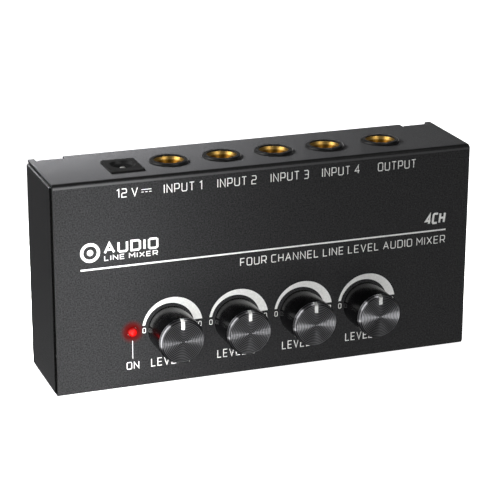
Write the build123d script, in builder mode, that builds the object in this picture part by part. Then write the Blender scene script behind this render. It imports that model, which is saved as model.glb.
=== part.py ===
from build123d import *
import os

# A small four-channel line mixer in a folded steel case. It stands on its lower wall, with the
# knob panel facing -Y and the jacks on top. X runs along the width, Z is up, and the origin is
# the middle of the whole object's box at its base. Millimetres throughout.

# ---- case
case_width = 135.0          # over the two end plates
case_height = 66.2
case_depth = 29.2           # panel face to cover face
sheet = 0.8                 # steel sheet of the shell and the cover
bend_radius = 1.5           # outside of a fold
edge_round = 0.2            # powder coat rounds every cut edge
end_proud = 0.65            # how far an end plate stands out past the shell's cut edge
seam_gap = 0.25             # between the cover's edges and the shell's walls
panel_seam = 0.5            # between the panel's inner face and an end plate's front edge

# ---- screw tabs, cover screws and feet
tab_width = 7.2
tab_length = 9.5            # from the wall's outer face to the tab's free end
relief = 0.8                # bend relief slot beside a tab
relief_depth = 2.6
screw_inset = 7.15          # screw axis from the end plate's outer face
screw_edge = 5.6            # screw axis from the case's top or bottom
screw_radius = 1.5
screw_fit = 0.02
screw_clear = 0.2
screw_length = 5.0
head_radius = 2.8
head_height = 1.7
head_round = 0.7
recess_span = 3.2
recess_width = 0.6
recess_depth = 0.9
nut_radius = 3.0
nut_height = 2.5
foot_radius = 5.0
foot_height = 3.0
foot_taper = 6
foot_round = 0.5
foot_inset_x = 21.5         # foot axis from the end plate's outer face
foot_inset_z = 11.0

# ---- level knobs and their rotary pots
channels = 4
knob_pitch = 21.22
knob_row_x = 0.15           # middle of the knob row
knob_z = 18.1
knob_gap = 0.5              # panel face to the back of a knob
knob_radius = 7.05
knob_length = 11.2
knob_wall = 1.2
knob_hollow = 9.0
hub_radius = 4.5
knob_edge = 0.25
cap_radius = 7.0
cap_rim = 0.3               # straight part of the cap's side
cap_bevel_depth = 1.2
cap_bevel = 0.7
pointer_width = 1.1
pointer_start = 4.0         # inner end, from the knob's axis
pointer_proud = 0.05
pointer_bed = 0.15          # cap left under the pointer
shaft_radius = 3.0
shaft_end_gap = 0.3         # shaft end to the end of the knob's bore
bore_depth = 10.4
shaft_flat = 1.5            # flat of the D from the shaft's axis
flat_length = 9.0
knob_fit = 0.01
shaft_fit = 0.03
shaft_hole_clear = 0.6
pot_width = 9.8
pot_height = 11.0
pot_base_depth = 4.6
pot_cavity_radius = 4.3
pot_floor = 1.0
pot_cover = 1.2
pot_bush_wall = 0.45
pot_bush_length = 5.0
wiper_radius = 4.0
wiper_thickness = 1.0
wiper_gap = 0.2
pot_pin_pitch = 2.5
pot_pin_drop = 4.0          # pins below the pot's axis

# ---- quarter-inch jacks
input_pitch = 16.85
input_row_x = -1.92         # middle of the four input jacks
output_x = 42.0
jack_depth = 13.2           # jack axis behind the panel face
jack_axis_height = 7.4      # jack axis above the board
jack_front = 7.0            # jack axis to the front of its housing
jack_width = 15.6
jack_length = 28.0
jack_corner = 0.6
nose_radius = 5.95
nose_proud = 0.8
nose_round = 0.45
nose_clear = 0.12
lid_gap = 0.2               # under the top wall, over the housings
sleeve_radius = 4.7
sleeve_length = 12.0
sleeve_drop = 0.45          # sleeve's rim below the nose's
sleeve_rim = 0.25
funnel_depth = 1.7
plug_radius = 3.175         # a quarter-inch plug
plug_fit = 0.075
chamber_x = 4.5
chamber_y = 5.0
chamber_floor = 1.5
throat_radius = 3.7
leaf = 0.35                 # contact spring thickness
leaf_width = 2.6
leaf_reach = 4.3            # spring's straight part, from the jack's axis
leaf_clear = 0.15
leaf_bump = 2.4             # half length of a spring's bend towards the plug
leg_width = 0.9
leg_clear = 0.1
lug_rise = 1.2              # sleeve's lug above its lower end
tip_leg_rise = 1.5          # tip spring's leg above the chamber's floor
switch_leg_rise = 4.5

# ---- power jack
dc_x = -42.0
dc_depth = 12.2             # socket axis behind the panel face
dc_width = 10.4
dc_nose_depth = 12.0
dc_proud = 0.85
dc_length = 14.0
dc_bevel = 0.3
dc_clear = 0.12
dc_bore_radius = 3.2
dc_mouth_radius = 4.0
dc_bore_depth = 10.5
dc_pin_radius = 1.05
dc_pin_drop = 0.7           # pin's tip below the mouth
dc_root_radius = 0.8        # pin's thinner root, pressed into the housing's floor
dc_pin_rise = 1.2           # root's lower end above the housing's underside
dc_tip_round = 0.95
dc_leaf_drop = 9.0          # outer contact below the mouth
dc_leg_rise = 2.5

# ---- indicator
led_x = -43.4
led_radius = 1.5
led_length = 5.3
led_proud = 1.4
led_dome = 1.4              # rounding of the lens's tip
led_flange = 0.4
led_flange_depth = 0.9
led_clear = 0.1
led_lead = 0.5
led_lead_pitch = 2.54
spacer_radius = 2.4

# ---- circuit board and what it carries
board_thickness = 1.6
board_side = 5.5            # board edge to an end plate's outer face
board_low = 4.5             # board's lower edge above the case's base
board_top_gap = 5.0
board_corner = 1.5
pin_end = 1.2               # pins past the back of the board
pin_size = 0.7
pin_clear = 0.15
solder_width = 0.45         # solder past the edge of a pin's hole
solder_height = 0.8
solder_slope = 0.4
standoff_flats = 5.0
standoff_inset = 5.0
standoff_low = 8.0
standoff_high = 31.0
chip_width = 4.9
chip_length = 6.0
chip_height = 1.5
chip_leg = 0.4
chip_leg_pitch = 1.27
can_radius = 2.5
can_height = 7.0
can_round = 0.4
can_z = 8.0
resistor_width = 1.25
resistor_length = 2.0
resistor_height = 0.5
resistor_pitch = 3.2
resistor_rows = 10.4        # between the rows above and below a chip
regulator_width = 6.6
regulator_length = 6.1
regulator_height = 2.3
regulator_gap = 5.0         # below the power jack

# ---- worked out from the above
knob_reach = knob_gap + knob_length + cap_rim + cap_bevel_depth + pointer_proud
panel_y = (knob_reach - case_depth - foot_height) / 2
back_y = panel_y + case_depth
cover_inner_y = back_y - sheet
shell_width = case_width - 2 * end_proud
plate_front_y = panel_y + sheet + panel_seam
cover_low = sheet + seam_gap
cover_height = case_height - 2 * cover_low
inner_bend = bend_radius - sheet
screw_x = case_width / 2 - screw_inset
board_depth = jack_depth + jack_axis_height
board_y = panel_y + board_depth
board_back_y = board_y + board_thickness
board_width = case_width - 2 * board_side
board_height = case_height - board_low - board_top_gap
standoff_x = board_width / 2 - standoff_inset
jack_y = panel_y + jack_depth
jack_top = case_height - sheet - lid_gap
jack_bottom = jack_top - jack_length
nose_top = case_height + nose_proud
sleeve_top = nose_top - sleeve_drop
sleeve_bottom = sleeve_top - sleeve_length
plug_bore = plug_radius + plug_fit
tip_leg_z = jack_bottom + chamber_floor + tip_leg_rise
switch_leg_z = jack_bottom + chamber_floor + switch_leg_rise
lug_z = sleeve_bottom + lug_rise
dc_y = panel_y + dc_depth
dc_front_y = dc_y - dc_nose_depth / 2
dc_top = case_height + dc_proud
dc_bottom = jack_top - dc_length
dc_floor = dc_top - dc_bore_depth
dc_leg_z = dc_bottom + dc_leg_rise
dc_spring_z = dc_top - dc_leaf_drop
pin_tip_y = board_back_y + pin_end
led_flange_y = panel_y - led_proud + led_length

knob_xs = [knob_row_x + (i - (channels - 1) / 2) * knob_pitch for i in range(channels)]
input_xs = [input_row_x + (i - (channels - 1) / 2) * input_pitch for i in range(channels)]
jack_xs = input_xs + [output_x]
jack_names = [f"input_jack_{i + 1}" for i in range(channels)] + ["output_jack"]
corner_screws = [(sx * screw_x, z) for sx in (-1, 1) for z in (screw_edge, case_height - screw_edge)]
foot_x = case_width / 2 - foot_inset_x
corner_feet = [(sx * foot_x, z) for sx in (-1, 1) for z in (foot_inset_z, case_height - foot_inset_z)]
corner_standoffs = [(sx * standoff_x, z) for sx in (-1, 1) for z in (standoff_low, standoff_high)]
pot_pins = [(x + k * pot_pin_pitch, knob_z - pot_pin_drop) for x in knob_xs for k in (-1, 0, 1)]
pin_hole_radius = leg_width / 2 + leg_clear + pin_clear
jack_pins = [(x, z) for x in jack_xs for z in (tip_leg_z, lug_z)]
switch_pins = [(x + leaf_reach + leaf / 2, switch_leg_z) for x in jack_xs]
dc_pins = [(dc_x, dc_leg_z), (dc_x, dc_spring_z)]
led_pins = [(led_x + k * led_lead_pitch / 2, knob_z) for k in (-1, 1)]
chip_xs = [(a + b) / 2 for a, b in zip(knob_xs, knob_xs[1:])]

os.makedirs("parts", exist_ok=True)


def save(builder, node):
    builder.part.label = node
    export_step(builder.part, f"parts/{node}.step")


def facing_front(y):
    """Plane across the case at y: sketches read X and Z, and extrude towards the panel's front."""
    return Plane.XZ.offset(-y)


def facing_back(y):
    """The same plane turned to extrude towards the back; its sketch X runs along -X."""
    return Plane(origin=(0, y, 0), x_dir=(-1, 0, 0), z_dir=(0, 1, 0))


def pan_head_screws(positions, seat_y, length):
    """Pan head screws with a cross recess, heads at the back and shanks towards the front."""
    spots = [(-x, z) for x, z in positions]
    with BuildPart() as screws:
        with BuildSketch(facing_back(seat_y)):
            with Locations(*spots):
                Circle(head_radius)
        extrude(amount=head_height)
        fillet(screws.edges().group_by(Axis.Y)[-1], head_round)
        with BuildSketch(facing_back(seat_y)):
            with Locations(*spots):
                Circle(screw_radius)
        extrude(amount=-length)
        with BuildSketch(facing_back(seat_y + head_height)):
            with Locations(*spots):
                Rectangle(recess_span, recess_width)
                Rectangle(recess_width, recess_span)
        extrude(amount=-recess_depth, mode=Mode.SUBTRACT)
    return screws


# ---- front shell: panel, top wall and bottom wall in one fold
with BuildPart() as front_shell:
    with BuildSketch(Plane.YZ) as shell_profile:
        with Locations((panel_y, 0)):
            Rectangle(case_depth, case_height, align=(Align.MIN, Align.MIN))
        with Locations((panel_y + sheet, sheet)):
            Rectangle(case_depth, case_height - 2 * sheet, align=(Align.MIN, Align.MIN), mode=Mode.SUBTRACT)
        fillet(shell_profile.vertices().group_by(Axis.X)[1], inner_bend)
        fillet(shell_profile.vertices().group_by(Axis.X)[0], bend_radius)
    extrude(amount=shell_width / 2, both=True)
    fillet(front_shell.faces().sort_by(Axis.X)[0].edges(), edge_round)
    fillet(front_shell.faces().sort_by(Axis.X)[-1].edges(), edge_round)
    # bend reliefs at the back edges of the top and bottom walls
    with Locations(*[(sx * screw_x, back_y, z) for sx in (-1, 1) for z in (0, case_height)]):
        Box(tab_width + 2 * relief, 2 * relief_depth, 3 * sheet, mode=Mode.SUBTRACT)
    # tabs folded inwards behind the walls, one near each corner
    for tab_x in (-screw_x, screw_x):
        for wall_z, inward in ((0, 1), (case_height, -1)):
            with BuildSketch(Plane.YZ.offset(tab_x)) as tab_profile:
                with BuildLine():
                    Polyline(
                        (back_y - relief_depth - sheet, wall_z),
                        (cover_inner_y, wall_z),
                        (cover_inner_y, wall_z + inward * tab_length),
                        (cover_inner_y - sheet, wall_z + inward * tab_length),
                        (cover_inner_y - sheet, wall_z + inward * sheet),
                        (back_y - relief_depth - sheet, wall_z + inward * sheet),
                        close=True,
                    )
                make_face()
                inside = (cover_inner_y - sheet, wall_z + inward * sheet)
                fillet(tab_profile.vertices().sort_by_distance(inside)[0], inner_bend)
                outside = (cover_inner_y, wall_z)
                fillet(tab_profile.vertices().sort_by_distance(outside)[0], bend_radius)
            extrude(amount=tab_width / 2, both=True)
    # screw holes through the tabs
    with BuildSketch(facing_back(cover_inner_y + sheet)):
        with Locations(*corner_screws):
            Circle(screw_radius + screw_fit)
    extrude(amount=-3 * sheet, mode=Mode.SUBTRACT)
    # shaft holes and the indicator's hole through the panel
    with BuildSketch(facing_front(panel_y + 2 * sheet)):
        with Locations(*[(x, knob_z) for x in knob_xs]):
            Circle(shaft_radius + shaft_hole_clear)
        with Locations((led_x, knob_z)):
            Circle(led_radius + led_clear)
    extrude(amount=3 * sheet, mode=Mode.SUBTRACT)
    # jack and power socket openings through the top wall
    with BuildSketch(Plane.XY.offset(case_height + sheet)):
        with Locations(*[(x, jack_y) for x in jack_xs]):
            Circle(nose_radius + nose_clear)
        with Locations((dc_x, dc_y)):
            Rectangle(dc_width + 2 * dc_clear, dc_nose_depth + 2 * dc_clear)
    extrude(amount=-3 * sheet, mode=Mode.SUBTRACT)
save(front_shell, "front_shell")

# ---- back cover: back plate and the two end plates in one fold
with BuildPart() as back_cover:
    with BuildSketch(Plane.XY.offset(cover_low)) as cover_profile:
        with Locations((0, plate_front_y)):
            Rectangle(case_width, back_y - plate_front_y, align=(Align.CENTER, Align.MIN))
            Rectangle(
                case_width - 2 * sheet,
                cover_inner_y - plate_front_y,
                align=(Align.CENTER, Align.MIN),
                mode=Mode.SUBTRACT,
            )
        fillet(cover_profile.vertices().group_by(Axis.Y)[1], inner_bend)
        fillet(cover_profile.vertices().group_by(Axis.Y)[-1], bend_radius)
    extrude(amount=cover_height)
    rims = back_cover.faces().sort_by(Axis.Z)
    plate_fronts = back_cover.edges().filter_by(Axis.Z).group_by(Axis.Y)[0]
    fillet(rims[0].edges() + rims[-1].edges() + plate_fronts, edge_round)
    with BuildSketch(facing_back(back_y + sheet)):
        with Locations(*corner_screws):
            Circle(screw_radius + screw_clear)
    extrude(amount=-3 * sheet, mode=Mode.SUBTRACT)
save(back_cover, "back_cover")

# ---- fasteners and feet of the cover
cover_screws = pan_head_screws(corner_screws, back_y, screw_length)
save(cover_screws, "cover_screws")

with BuildPart() as clinch_nuts:
    with BuildSketch(facing_front(cover_inner_y - sheet)):
        with Locations(*corner_screws):
            Circle(nut_radius)
            Circle(screw_radius + screw_fit, mode=Mode.SUBTRACT)
    extrude(amount=nut_height)
save(clinch_nuts, "clinch_nuts")

with BuildPart() as rubber_feet:
    with BuildSketch(facing_back(back_y)):
        with Locations(*corner_feet):
            Circle(foot_radius)
    extrude(amount=foot_height, taper=foot_taper)
    fillet(rubber_feet.edges().group_by(Axis.Y)[-1], foot_round)
save(rubber_feet, "rubber_feet")

# ---- circuit board, its standoffs and screws
with BuildPart() as circuit_board:
    with BuildSketch(facing_back(board_y)) as board_outline:
        with Locations((0, board_low)):
            Rectangle(board_width, board_height, align=(Align.CENTER, Align.MIN))
        fillet(board_outline.vertices(), board_corner)
    extrude(amount=board_thickness)
    with BuildSketch(facing_front(board_back_y + sheet)):
        with Locations(*pot_pins, *jack_pins, *switch_pins, *dc_pins, *led_pins):
            Circle(pin_hole_radius)
        with Locations(*corner_standoffs):
            Circle(screw_radius + screw_clear)
    extrude(amount=board_thickness + 2 * sheet, mode=Mode.SUBTRACT)
save(circuit_board, "circuit_board")

with BuildPart() as board_standoffs:
    with BuildSketch(facing_front(board_y)):
        with Locations(*corner_standoffs):
            RegularPolygon(standoff_flats / 2, 6, major_radius=False)
    extrude(amount=board_depth - sheet)
    with BuildSketch(facing_front(board_y)):
        with Locations(*corner_standoffs):
            Circle(screw_radius + screw_fit)
    extrude(amount=screw_length, mode=Mode.SUBTRACT)
save(board_standoffs, "board_standoffs")

board_screws = pan_head_screws(corner_standoffs, board_back_y, screw_length)
save(board_screws, "board_screws")

with BuildPart() as solder_joints:
    with BuildSketch(facing_front(board_back_y + solder_height)):
        with Locations(*pot_pins, *jack_pins, *switch_pins, *dc_pins, *led_pins):
            Circle(pin_hole_radius + solder_width)
    extrude(amount=solder_height)
    solder_tops = solder_joints.edges().filter_by(GeomType.CIRCLE).group_by(Axis.Y)[-1]
    chamfer(solder_tops, solder_slope)
    with BuildSketch(facing_front(board_back_y + solder_height)):
        with Locations(*pot_pins, *jack_pins, *dc_pins):
            Rectangle(pin_size, pin_size)
        with Locations(*switch_pins):
            Rectangle(leaf, pin_size)
        with Locations(*led_pins):
            Rectangle(led_lead, led_lead)
    extrude(amount=solder_height, mode=Mode.SUBTRACT)
save(solder_joints, "solder_joints")


# ---- rotary pots
def pot_base(x):
    with BuildPart() as base:
        with BuildSketch(facing_front(board_y)):
            with Locations((x, knob_z)):
                Rectangle(pot_width, pot_height)
        extrude(amount=pot_base_depth)
        with BuildSketch(facing_front(board_y - pot_floor)):
            with Locations((x, knob_z)):
                Circle(pot_cavity_radius)
        extrude(amount=pot_base_depth, mode=Mode.SUBTRACT)
    return base


def pot_bushing(x):
    front = board_y - pot_base_depth
    with BuildPart() as bushing:
        with BuildSketch(facing_front(front)):
            with Locations((x, knob_z)):
                Rectangle(pot_width, pot_height)
        extrude(amount=pot_cover)
        with BuildSketch(facing_front(front - pot_cover)):
            with Locations((x, knob_z)):
                Circle(shaft_radius + shaft_fit + pot_bush_wall)
        extrude(amount=pot_bush_length)
        with BuildSketch(facing_front(front)):
            with Locations((x, knob_z)):
                Circle(shaft_radius + shaft_fit)
        extrude(amount=pot_cover + pot_bush_length, mode=Mode.SUBTRACT)
    return bushing


def pot_shaft(x):
    """Shaft with the wiper's disc inside the pot and a D flat inside the knob."""
    disc_y = board_y - pot_base_depth + wiper_gap
    end_y = panel_y - knob_gap - bore_depth + shaft_end_gap
    with BuildPart() as shaft:
        with BuildSketch(facing_front(disc_y + wiper_thickness)):
            with Locations((x, knob_z)):
                Circle(wiper_radius)
        extrude(amount=wiper_thickness)
        with BuildSketch(facing_front(disc_y)):
            with Locations((x, knob_z)):
                Circle(shaft_radius)
        extrude(amount=disc_y - end_y)
        with BuildSketch(facing_front(end_y + flat_length)):
            with Locations((x, knob_z - shaft_flat)):
                Rectangle(2 * shaft_radius, shaft_radius, align=(Align.CENTER, Align.MAX))
        extrude(amount=flat_length, mode=Mode.SUBTRACT)
    return shaft


with BuildPart() as pot_terminals:
    with BuildSketch(facing_front(pin_tip_y)):
        with Locations(*pot_pins):
            Rectangle(pin_size, pin_size)
    extrude(amount=pin_tip_y - board_y)
save(pot_terminals, "pot_terminals")


# ---- knobs
def knob_body(x):
    back = panel_y - knob_gap
    with BuildPart() as body:
        with BuildSketch(facing_front(back)):
            with Locations((x, knob_z)):
                Circle(knob_radius)
        extrude(amount=knob_length)
        fillet(body.edges().group_by(Axis.Y)[-1], knob_edge)
        with BuildSketch(facing_front(back)):
            with Locations((x, knob_z)):
                Circle(knob_radius - knob_wall)
                Circle(hub_radius, mode=Mode.SUBTRACT)
        extrude(amount=knob_hollow, mode=Mode.SUBTRACT)
        with BuildSketch(facing_front(back)):
            with Locations((x, knob_z)):
                Circle(shaft_radius + knob_fit)
        extrude(amount=bore_depth, mode=Mode.SUBTRACT)
        # flat of the bore, against the shaft's
        with BuildSketch(facing_front(back - bore_depth + shaft_end_gap + flat_length)):
            with Locations((x, knob_z - shaft_flat - knob_fit)):
                fill = shaft_radius - shaft_flat + knob_edge
                Rectangle(2 * shaft_radius, fill, align=(Align.CENTER, Align.MAX))
        extrude(amount=flat_length)
    return body


def cap_disc(x, grow):
    """Disc with a bevelled rim, grown all round by the amount given."""
    with BuildPart() as disc:
        with BuildSketch(facing_front(panel_y - knob_gap - knob_length)):
            with Locations((x, knob_z)):
                Circle(cap_radius + grow)
        extrude(amount=cap_rim + cap_bevel_depth + grow)
        chamfer(disc.edges().group_by(Axis.Y)[0], cap_bevel_depth, cap_bevel)
    return disc


def pointer_seat(x):
    """Block across the cap's face and bevel at 12 o'clock, where the pointer lies."""
    with BuildPart() as seat:
        with BuildSketch(facing_front(panel_y - knob_gap - knob_length - pointer_bed)):
            with Locations((x, knob_z + pointer_start)):
                Rectangle(pointer_width, cap_radius, align=(Align.CENTER, Align.MIN))
        extrude(amount=2 * cap_bevel_depth)
    return seat


def knob_cap(x):
    with BuildPart() as cap:
        add(cap_disc(x, 0).part)
        add(pointer_seat(x).part, mode=Mode.SUBTRACT)
    return cap


def knob_pointer(x):
    with BuildPart() as pointer:
        add(cap_disc(x, pointer_proud).part)
        add(pointer_seat(x).part, mode=Mode.INTERSECT)
    return pointer


for number, x in enumerate(knob_xs, start=1):
    save(pot_base(x), f"pot_{number}_base")
    save(pot_bushing(x), f"pot_{number}_bushing")
    save(pot_shaft(x), f"pot_{number}_shaft")
    save(knob_body(x), f"knob_{number}_body")
    save(knob_cap(x), f"knob_{number}_cap")
    save(knob_pointer(x), f"knob_{number}_pointer")


# ---- quarter-inch jacks
def jack_housing(x):
    rear_slot = board_y - jack_y
    with BuildPart() as housing:
        with BuildSketch(Plane.XY.offset(jack_bottom)) as block:
            with Locations((x, jack_y - jack_front)):
                Rectangle(jack_width, jack_front + jack_axis_height, align=(Align.CENTER, Align.MIN))
            fillet(block.vertices(), jack_corner)
        extrude(amount=jack_length)
        with BuildSketch(Plane.XY.offset(jack_top)):
            with Locations((x, jack_y)):
                Circle(nose_radius)
        extrude(amount=nose_top - jack_top)
        fillet(housing.edges().group_by(Axis.Z)[-1], nose_round)
        # seat of the sleeve
        with BuildSketch(Plane.XY.offset(sleeve_bottom)):
            with Locations((x, jack_y)):
                Circle(sleeve_radius)
        extrude(amount=sleeve_length + nose_proud, mode=Mode.SUBTRACT)
        # contact chamber, open to the plug at both ends
        with BuildSketch(Plane.XY.offset(jack_bottom + chamber_floor)):
            with Locations((x, jack_y)):
                Rectangle(2 * (chamber_x + leaf), 2 * chamber_y)
        extrude(amount=sleeve_bottom - jack_bottom - chamber_floor, mode=Mode.SUBTRACT)
        with BuildSketch(Plane.XY.offset(jack_bottom)):
            with Locations((x, jack_y)):
                Circle(throat_radius)
        extrude(amount=chamber_floor, mode=Mode.SUBTRACT)
        # ways out to the board for the two springs' legs and the sleeve's lug
        with BuildSketch(facing_front(board_y)):
            with Locations((x, tip_leg_z), (x, lug_z), (x + leaf_reach, switch_leg_z)):
                Rectangle(leg_width + 2 * leg_clear, leg_width + 2 * leg_clear)
        extrude(amount=rear_slot - sleeve_radius / 2, mode=Mode.SUBTRACT)
    return housing


def jack_sleeve(x):
    """Brass sleeve with a funnel mouth and a lug soldered through the board."""
    with BuildPart() as sleeve:
        with BuildSketch(Plane.XY.offset(sleeve_bottom)):
            with Locations((x, jack_y)):
                Circle(sleeve_radius)
        extrude(amount=sleeve_length)
        with BuildSketch(facing_front(pin_tip_y)):
            with Locations((x, lug_z)):
                Rectangle(pin_size, pin_size)
        extrude(amount=pin_tip_y - jack_y)
        with BuildSketch(Plane.XY.offset(sleeve_bottom)):
            with Locations((x, jack_y)):
                Circle(plug_bore)
        extrude(amount=sleeve_length, mode=Mode.SUBTRACT)
        with Locations((x, jack_y, sleeve_top - funnel_depth)):
            Cone(
                plug_bore,
                sleeve_radius - sleeve_rim,
                funnel_depth,
                align=(Align.CENTER, Align.CENTER, Align.MIN),
                mode=Mode.SUBTRACT,
            )
    return sleeve


def jack_contacts(x):
    """Tip and switch springs, drawn where a plug holds them."""
    low = jack_bottom + chamber_floor
    high = sleeve_bottom - leaf_clear
    middle = (low + high) / 2
    crest = plug_bore + leaf_clear
    with BuildPart() as contacts:
        with BuildSketch(Plane.YZ.offset(x)):
            with BuildLine():
                Polyline(
                    (jack_y + leaf_reach, low),
                    (jack_y + leaf_reach, middle - leaf_bump),
                    (jack_y + crest, middle),
                    (jack_y + leaf_reach, middle + leaf_bump),
                    (jack_y + leaf_reach, high),
                    (jack_y + leaf_reach + leaf, high),
                    (jack_y + leaf_reach + leaf, middle + leaf_bump),
                    (jack_y + crest + leaf, middle),
                    (jack_y + leaf_reach + leaf, middle - leaf_bump),
                    (jack_y + leaf_reach + leaf, low),
                    close=True,
                )
            make_face()
        extrude(amount=leaf_width / 2, both=True)
        with BuildSketch(facing_front(pin_tip_y)):
            with Locations((x, tip_leg_z)):
                Rectangle(pin_size, pin_size)
        extrude(amount=pin_tip_y - jack_y - leaf_reach)
        with BuildSketch(Plane.XZ.offset(-jack_y)):
            with BuildLine():
                Polyline(
                    (x + leaf_reach, low),
                    (x + leaf_reach, middle - leaf_bump),
                    (x + crest, middle),
                    (x + leaf_reach, middle + leaf_bump),
                    (x + leaf_reach, high),
                    (x + leaf_reach + leaf, high),
                    (x + leaf_reach + leaf, middle + leaf_bump),
                    (x + crest + leaf, middle),
                    (x + leaf_reach + leaf, middle - leaf_bump),
                    (x + leaf_reach + leaf, low),
                    close=True,
                )
            make_face()
        extrude(amount=leaf_width / 2, both=True)
        with BuildSketch(facing_front(pin_tip_y)):
            with Locations((x + leaf_reach + leaf / 2, switch_leg_z)):
                Rectangle(leaf, pin_size)
        extrude(amount=pin_tip_y - jack_y)
    return contacts


for name, x in zip(jack_names, jack_xs):
    save(jack_housing(x), f"{name}_housing")
    save(jack_sleeve(x), f"{name}_sleeve")
    save(jack_contacts(x), f"{name}_contacts")

# ---- power jack
with BuildPart() as dc_jack_housing:
    with BuildSketch(Plane.XY.offset(dc_bottom)):
        with Locations((dc_x, dc_front_y)):
            Rectangle(dc_width, board_y - dc_front_y, align=(Align.CENTER, Align.MIN))
    extrude(amount=dc_length)
    with BuildSketch(Plane.XY.offset(jack_top)):
        with Locations((dc_x, dc_y)):
            Rectangle(dc_width, dc_nose_depth)
    extrude(amount=dc_top - jack_top)
    chamfer(dc_jack_housing.edges().group_by(Axis.Z)[-1], dc_bevel)
    with BuildSketch(Plane.XY.offset(dc_top)):
        with Locations((dc_x, dc_y)):
            Circle(dc_bore_radius)
    extrude(amount=-dc_bore_depth, mode=Mode.SUBTRACT)
    dc_mouth = dc_jack_housing.edges().filter_by(GeomType.CIRCLE).group_by(Axis.Z)[-1]
    chamfer(dc_mouth, dc_mouth_radius - dc_bore_radius)
    with BuildSketch(Plane.XY.offset(dc_bottom)):
        with Locations((dc_x, dc_y)):
            Circle(dc_root_radius)
    extrude(amount=dc_length / 2, mode=Mode.SUBTRACT)
    with BuildSketch(facing_front(board_y)):
        with Locations((dc_x, dc_spring_z)):
            Rectangle(leg_width + 2 * leg_clear, leg_width + 2 * leg_clear)
    extrude(amount=board_y - dc_y - dc_bore_radius, mode=Mode.SUBTRACT)
    with BuildSketch(facing_front(board_y)):
        with Locations((dc_x, dc_leg_z)):
            Rectangle(leg_width + 2 * leg_clear, leg_width + 2 * leg_clear)
    extrude(amount=board_y - dc_y, mode=Mode.SUBTRACT)
save(dc_jack_housing, "dc_jack_housing")

with BuildPart() as dc_jack_pin:
    with BuildSketch(Plane.XY.offset(dc_floor)):
        with Locations((dc_x, dc_y)):
            Circle(dc_pin_radius)
    extrude(amount=dc_top - dc_pin_drop - dc_floor)
    fillet(dc_jack_pin.edges().group_by(Axis.Z)[-1], dc_tip_round)
    with BuildSketch(Plane.XY.offset(dc_bottom + dc_pin_rise)):
        with Locations((dc_x, dc_y)):
            Circle(dc_root_radius)
    extrude(amount=dc_floor - dc_bottom - dc_pin_rise)
save(dc_jack_pin, "dc_jack_pin")

# leg of the pin, and the outer contact that bears on the plug's barrel
with BuildPart() as dc_jack_contacts:
    with BuildSketch(facing_front(pin_tip_y)):
        with Locations((dc_x, dc_spring_z)):
            Rectangle(pin_size, pin_size)
    extrude(amount=pin_tip_y - dc_y - dc_bore_radius - leaf_clear)
    with BuildSketch(facing_front(pin_tip_y)):
        with Locations((dc_x, dc_leg_z)):
            Rectangle(pin_size, pin_size)
    extrude(amount=pin_tip_y - dc_y - dc_root_radius)
save(dc_jack_contacts, "dc_jack_contacts")

# ---- indicator
with BuildPart() as led_lens:
    with BuildSketch(facing_front(led_flange_y)):
        with Locations((led_x, knob_z)):
            Circle(led_radius)
    extrude(amount=led_length)
    fillet(led_lens.edges().group_by(Axis.Y)[0], led_dome)
    with BuildSketch(facing_front(led_flange_y)):
        with Locations((led_x, knob_z)):
            Circle(led_radius + led_flange)
    extrude(amount=led_flange_depth)
save(led_lens, "led_lens")

with BuildPart() as led_leads:
    with BuildSketch(facing_front(pin_tip_y)):
        with Locations(*led_pins):
            Rectangle(led_lead, led_lead)
    extrude(amount=pin_tip_y - led_flange_y)
save(led_leads, "led_leads")

with BuildPart() as led_spacer:
    with BuildSketch(facing_front(board_y)):
        with Locations((led_x, knob_z)):
            Circle(spacer_radius)
        with Locations(*led_pins):
            Circle(led_lead, mode=Mode.SUBTRACT)
    extrude(amount=board_y - led_flange_y)
save(led_spacer, "led_spacer")

# ---- components on the board's front
with BuildPart() as op_amp_chips:
    with BuildSketch(facing_front(board_y)):
        with Locations(*[(x, knob_z) for x in chip_xs]):
            Rectangle(chip_width, chip_length)
            with GridLocations(chip_width + chip_leg, chip_leg_pitch, 2, channels):
                Rectangle(2 * chip_leg, chip_leg)
    extrude(amount=chip_leg)
    with BuildSketch(facing_front(board_y)):
        with Locations(*[(x, knob_z) for x in chip_xs]):
            Rectangle(chip_width, chip_length)
    extrude(amount=chip_height)
save(op_amp_chips, "op_amp_chips")

with BuildPart() as electrolytic_capacitors:
    with BuildSketch(facing_front(board_y)):
        with Locations(*[(x + k * (can_radius + can_round), can_z) for x in chip_xs for k in (-1, 1)]):
            Circle(can_radius)
    extrude(amount=can_height)
    fillet(electrolytic_capacitors.edges().group_by(Axis.Y)[0], can_round)
save(electrolytic_capacitors, "electrolytic_capacitors")

with BuildPart() as chip_resistors:
    with BuildSketch(facing_front(board_y)):
        with Locations(*[(x, knob_z) for x in chip_xs]):
            with GridLocations(resistor_pitch, resistor_rows, 3, 2):
                Rectangle(resistor_width, resistor_length)
    extrude(amount=resistor_height)
save(chip_resistors, "chip_resistors")

with BuildPart() as voltage_regulator:
    with BuildSketch(facing_front(board_y)):
        with Locations((dc_x, dc_bottom - regulator_gap)):
            Rectangle(regulator_width, regulator_length)
    extrude(amount=regulator_height)
save(voltage_regulator, "voltage_regulator")
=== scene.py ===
"""Looks for a compact four-channel line mixer: finishes, printed panel and studio."""

import math

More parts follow.
